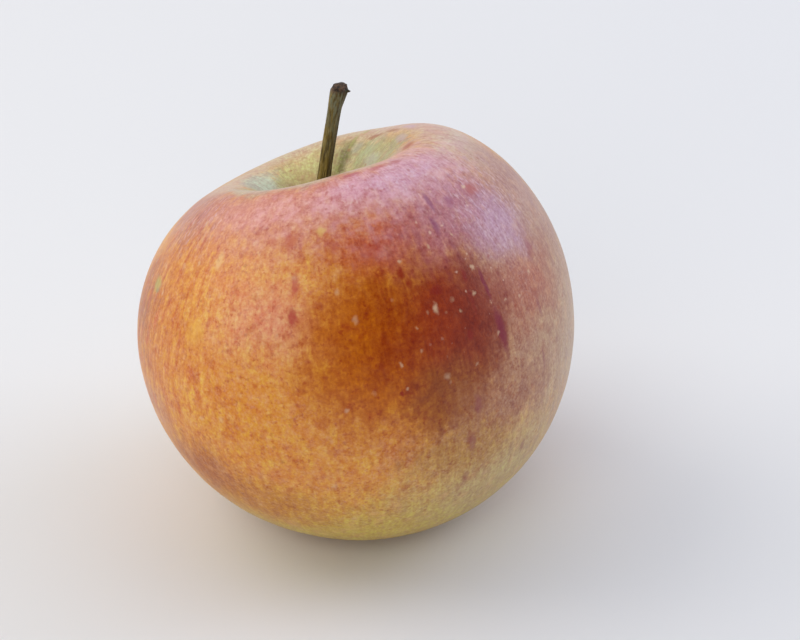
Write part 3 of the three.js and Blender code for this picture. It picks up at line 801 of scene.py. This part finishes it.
def apple_skin():
    """Apple skin: a thin waxed rind, golden where it grew in the shade and crimson where the sun reached it. The eye
    sees soft areas of pigment that break up into dots and streaks, pale pores, and a satin gloss over them. Some areas
    are partly painted light: a lilac highlight and pale reflections on the shoulders and the right edge, sheen in the
    hollow, and shade in the hollow's fold and floor."""
    material, tree = new_material("waxed apple skin")
    node = partial(add, tree)
    paint = partial(painted, tree)
    place = node("ShaderNodeAttribute", attribute_name="skin_place").outputs["Vector"]
    point = millimetres(tree)

    def cloud(at, scale, detail=2, low=0.3, high=0.7):
        """A cloudy pattern from 0 to 1"""
        return node(RANGE, node(NOISE, at, scale, detail, 0.55), low, high)

    # Streaks run up the meridians: stretched about four times in fall against azimuth
    streak_place = node(VECTOR, place, (24, 24, 6), operation="MULTIPLY")
    fine_streak_place = node(VECTOR, place, (60, 60, 14), operation="MULTIPLY")
    dash_place = node(VECTOR, place, (56, 56, 30), operation="MULTIPLY")
    streaks = cloud(streak_place, 1)
    fine_streaks = cloud(fine_streak_place, 1)
    # Clouds of pigment are 4 to 5 mm wide and its dapples 1.3 mm. The skin's cells are 0.05 mm wide, too fine to show,
    # so the grain is drawn ten times as coarse.
    clouds = cloud(point, 1 / 4.5)
    dapple = cloud(point, 1 / 1.3, 3)
    grain = cloud(point, 1 / 0.5)

    # Soft areas have ragged edges, and near them the pigment breaks up into dots and streaks
    ragged = node(VECTOR, node(VECTOR, place, drift(tree, point, 1 / 8, 2, 0.2)), drift(tree, point, 1 / 2, 2, 0.08))
    breaking = node(MATH, node(MATH, dapple, 0.1, -0.05, operation="MULTIPLY_ADD"),
                    node(MATH, streaks, 0.1, -0.05, operation="MULTIPLY_ADD"))
    crisp = node(VECTOR, place, drift(tree, point, 1 / 0.9, 2, 0.024))

    def patch(azimuth, fall, half_width, half_height, core, at=ragged, breaks=0):
        """An oval marking, given in degrees: 1 in its core and 0 past its edge"""
        wide, high = math.radians(half_width), math.radians(half_height)
        turn = math.radians(azimuth)
        middle = (math.cos(turn) / wide, math.sin(turn) / wide, math.radians(fall) / high)
        away = node(VECTOR, at, (1 / wide, 1 / wide, 1 / high), operation="MULTIPLY")
        away = node(VECTOR, away, middle, operation="DISTANCE").outputs["Value"]
        return node(RANGE, node(MATH, away, breaks), 1, core, interpolation_type="SMOOTHSTEP")

    skin = node(MIX, cloud(point, 1 / 7), linear("d58f3c"), linear("da9a3c"), data_type="RGBA")
    for colour, *oval, strength in SKIN_AREAS.values():
        skin = paint(skin, colour, patch(*oval, ragged, breaking), strength)

    # Streaks of pigment down the left cheek, and dashes round the hollow's rim
    zone = {name: patch(*oval) for name, oval in SKIN_ZONES.items()}
    for scale, solid, name, strength, colour in (
        (1.3, 0.68, "left cheek", 0.55, "c24a1c"),
        (1.1, 0.3, "left cheek", 0.5, "e8b65a"),
        (2, 0.62, "rim", 0.5, "b05a50"),
    ):
        share = node(MATH, cloud(streak_place, scale, 2, 0.5, solid), zone[name], operation="MULTIPLY")
        skin = paint(skin, colour, share, strength)

    # Thicker and thinner pigment: darker and redder, or lighter and yellower, around the same colour
    for pattern, strength in ((dapple, 0.45), (clouds, 0.3), (streaks, 0.2), (fine_streaks, 0.35), (grain, 0.55)):
        tone = node(MIX, pattern, linear("a88e8a"), linear("ccd8d0"), data_type="RGBA")
        skin = node(MIX, strength, skin, tone, data_type="RGBA", blend_type="OVERLAY")

    # Clouds, the milky one on the shoulder partly painted sheen, and a fine mist of air under the wax, which leave the
    # deepest colour clear
    clear = node(RANGE, patch(*SKIN_ZONES["deep colour"], ragged, breaking), 0, 1, 0.18, 0.01)
    zone["pale ground"] = node(RANGE, clear, 0.01, 0.18, 0.03, 0.3)
    for offset, width, detail, low, high, name, strength, colour, blend in SKIN_CLOUDS.values():
        pattern = cloud(node(VECTOR, point, offset), 1 / width, detail, low, high)
        skin = paint(skin, colour, node(MATH, pattern, zone[name], operation="MULTIPLY"), strength, blend)
    mist = node(MATH, cloud(node(VECTOR, point, (20, 70, 10)), 1 / 0.45, 2, 0.35, 0.7),
                cloud(point, 1 / 1.1, 2, 0.3, 0.65), operation="MULTIPLY")
    skin = paint(skin, "f0dcc8", node(MATH, mist, clear, operation="MULTIPLY"))

    # Bloom, the wax's own dust, in short pale dashes on both shoulders, partly painted sheen where the light catches
    # them
    shoulders = node(MATH, zone["right shoulder"], zone["left shoulder"], operation="MAXIMUM")
    bloom = node(MATH, cloud(dash_place, 1, 2, 0.52, 0.7), shoulders, operation="MULTIPLY")
    skin = paint(skin, "ead4de", bloom, 0.35)

    for colour, *oval, strength in COLOUR_MARKS:
        skin = paint(skin, colour, patch(*oval, 0.3, crisp), strength)

    def scatter(spacing, smallest, largest, edge):
        """Specks so many millimetres apart, each with its own radius. One with a radius below 0 isn't there."""
        cells = node(CELLS, named={
            "Vector": node(VECTOR, point, drift(tree, point, 1 / 0.6, 2, 0.6)), "Scale": 1 / spacing,
        })
        pick = node(SPLIT, cells.outputs["Color"]).outputs["X"]
        size = node(RANGE, pick, 0, 1, smallest / spacing, largest / spacing)
        return node(RANGE, node(MATH, size, cells.outputs["Distance"], operation="SUBTRACT"), 0, edge / spacing)

    # Red cells, and pores up to 1.6 mm wide with smaller ones between them on the right side
    skin = paint(skin, "a03c18", scatter(1.5, -0.4, 0.5, 0.3), 0.4)
    pores = scatter(3.2, -0.9, 0.8, 0.5)
    skin = paint(skin, "dcb894", pores, 0.4)
    small_pores = node(MATH, scatter(2.1, -0.35, 0.42, 0.25), zone["right side"], operation="MULTIPLY")
    skin = paint(skin, "e6c4ae", small_pores, 0.6)
    for *oval, strength in PALE_MARKS:
        skin = paint(skin, "dab896", patch(*oval, 0.1, crisp), strength)

    # Wax has an index of about 1.4, and its gloss varies a little. The pores stand less than 0.2 mm high.
    relief = node(MATH, pores, grain, operation="MAXIMUM")
    end_material(tree, {
        "Base Color": skin,
        "Roughness": node(RANGE, dapple, 0, 1, 0.31, 0.42),
        "IOR": 1.4,
        "Normal": node("ShaderNodeBump", 0.12, 0.0002, named={"Height": relief}),
    })
    return material


def plain(name, colour, roughness):
    """A material of one colour"""
    material, tree = new_material(name)
    end_material(tree, {"Base Color": linear(colour), "Roughness": roughness})
    return material


def stem_bark():
    """Stem bark: dry ridged wood, olive. The eye sees lengthwise streaks, darker in the furrows, a painted grey-green
    sheen on its upper part, painted shade down its right side, and a torn scar at its end. Its fibres are too fine to
    show, so they are drawn 0.2 mm wide."""
    material, tree = new_material("ridged stem bark")
    node = partial(add, tree)
    paint = partial(painted, tree)
    place = node("ShaderNodeAttribute", attribute_name="bark_place").outputs["Vector"]
    apart = node(SPLIT, place)
    east, height = apart.outputs["X"], apart.outputs["Z"]

    def streak(wide, long, low=0.35, high=0.65):
        """Streaks so many times the stem's radius wide and so many shares of its length long"""
        at = node(VECTOR, place, (1 / wide, 1 / wide, 1 / long), operation="MULTIPLY")
        return node(RANGE, node(NOISE, at, 1, 3, 0.6), low, high)

    bark = paint(linear("4c3e1a"), "8e7a3c", streak(0.5, 0.25))
    # A painted grey-green sheen on the upper part of the stem
    painted_grey_green_sheen = node(MATH, node(RANGE, height, 0.45, 0.88), streak(0.3, 0.06, 0.4, 0.6), operation="MULTIPLY")
    for colour, share, strength in (
        # Painted shade down the stem's right side
        ("352811", node(RANGE, east, 0, 0.9), 0.75),
        ("291d0e", streak(0.18, 0.12, 0.5, 0.62), 0.75),
        ("ab9862", streak(0.25, 0.08, 0.55, 0.7), 0.65),
        ("7a806a", painted_grey_green_sheen, 0.75),
    ):
        bark = paint(bark, colour, share, strength)
    scar = paint(linear("1c140e"), "5e4632", node(RANGE, node(NOISE, millimetres(tree), 1.2, 3, 0.6), 0.4, 0.6))
    bark = node(MIX, node(RANGE, height, 0.955, 0.985), bark, scar, data_type="RGBA")
    end_material(tree, {
        "Base Color": bark,
        "Roughness": 0.75,
        "Normal": node("ShaderNodeBump", 0.5, 0.0003, named={"Height": streak(0.12, 0.1)}),
    })
    return material


def dry_leaf(name, light, dark, roughness):
    """Dried plant fibre: cellulose that has lost its green. The eye sees brown blotches and no gloss."""
    material, tree = new_material(name)
    node = partial(add, tree)
    point = millimetres(tree)
    blotch = node(RANGE, node(NOISE, point, 1.4, 4, 0.65), 0.35, 0.65)
    end_material(tree, {
        "Base Color": painted(tree, linear(dark), light, blotch),
        "Roughness": roughness,
        "Normal": node("ShaderNodeBump", 0.6, 0.0002, named={"Height": node(NOISE, point, 4, 2)}),
    })
    return material


def soft_box(name, place, width, height, power, colour, mirrored):
    """A soft box that faces the apple, and whether the apple's gloss mirrors it"""
    data = bpy.data.lights.new(name, "AREA")
    data.shape, data.size, data.size_y = "RECTANGLE", width, height
    data.energy = power
    data.color = linear(colour)[:3]
    light = bpy.data.objects.new(name, data)
    light.location = place
    light.rotation_euler = (Vector(place) - CAMERA_TARGET).to_track_quat("Z", "Y").to_euler()
    light.visible_glossy = mirrored
    bpy.context.collection.objects.link(light)


def studio():
    """A pale floor under a soft sky, with a window on each side and a dim room behind the camera"""
    half = FLOOR_WIDTH / 2
    mesh = bpy.data.meshes.new("floor")
    mesh.from_pydata([(-half, -half, 0), (half, -half, 0), (half, half, 0), (-half, half, 0)], [], [(0, 1, 2, 3)])
    mesh.materials.append(plain("pale matte floor", "e4e6e8", 0.9))
    floor = bpy.data.objects.new("floor", mesh)
    bpy.context.collection.objects.link(floor)

    world = bpy.data.worlds.new("soft sky")
    bpy.context.scene.world = world
    world.use_nodes = True
    world.node_tree.nodes.clear()
    node = partial(add, world.node_tree)
    direction = node("ShaderNodeTexCoord").outputs["Generated"]
    back = Vector((0, -math.cos(CAMERA_ELEVATION), math.sin(CAMERA_ELEVATION)))
    towards_room = node(VECTOR, direction, back, operation="DOT_PRODUCT").outputs["Value"]
    room = node(RANGE, towards_room, *ROOM_EDGE, interpolation_type="SMOOTHSTEP")
    height = node(SPLIT, direction).outputs["Z"]
    zenith = node(RANGE, height, *SKY_HEIGHTS, 1, ZENITH_STRENGTH, interpolation_type="SMOOTHSTEP")
    strength = node(MATH, zenith, SKY_STRENGTH, operation="MULTIPLY")
    sky = node("ShaderNodeBackground", linear("e9eef6"), strength)
    dim = node("ShaderNodeBackground", linear("b08058"), ROOM_STRENGTH)
    node("ShaderNodeOutputWorld", node("ShaderNodeMixShader", room, dim, sky))

    for name, light in SOFT_BOXES.items():
        soft_box(name, *light)

    scene = bpy.context.scene
    scene.view_settings.view_transform = "Standard"
    camera_data = bpy.data.cameras.new("camera")
    camera_data.sensor_width = FILM_WIDTH
    camera_data.lens = CAMERA_LENS
    camera = bpy.data.objects.new("camera", camera_data)
    camera.location = CAMERA_TARGET + CAMERA_DISTANCE * back
    camera.rotation_euler = (math.pi / 2 - CAMERA_ELEVATION, 0, 0)
    bpy.context.collection.objects.link(camera)
    scene.camera = camera


def dress(name, tree, sizes):
    """Grows a piece and lets it stand for its solid"""
    piece = grow(f"{name}_finish", tree, sizes)
    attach(piece, "root")
    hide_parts(name)


dress("fruit", fruit_tree(apple_skin()), FRUIT)
dress("stem", stem_tree(stem_bark()), STEM)
dress("sepals", sepals_tree(dry_leaf("felted dry sepal", "94866a", "5c4c36", 0.9)), SEPALS)
dress("stamens", stamens_tree(dry_leaf("dry stamen", "5c4430", "2a1e14", 0.85)), STAMENS)
studio()
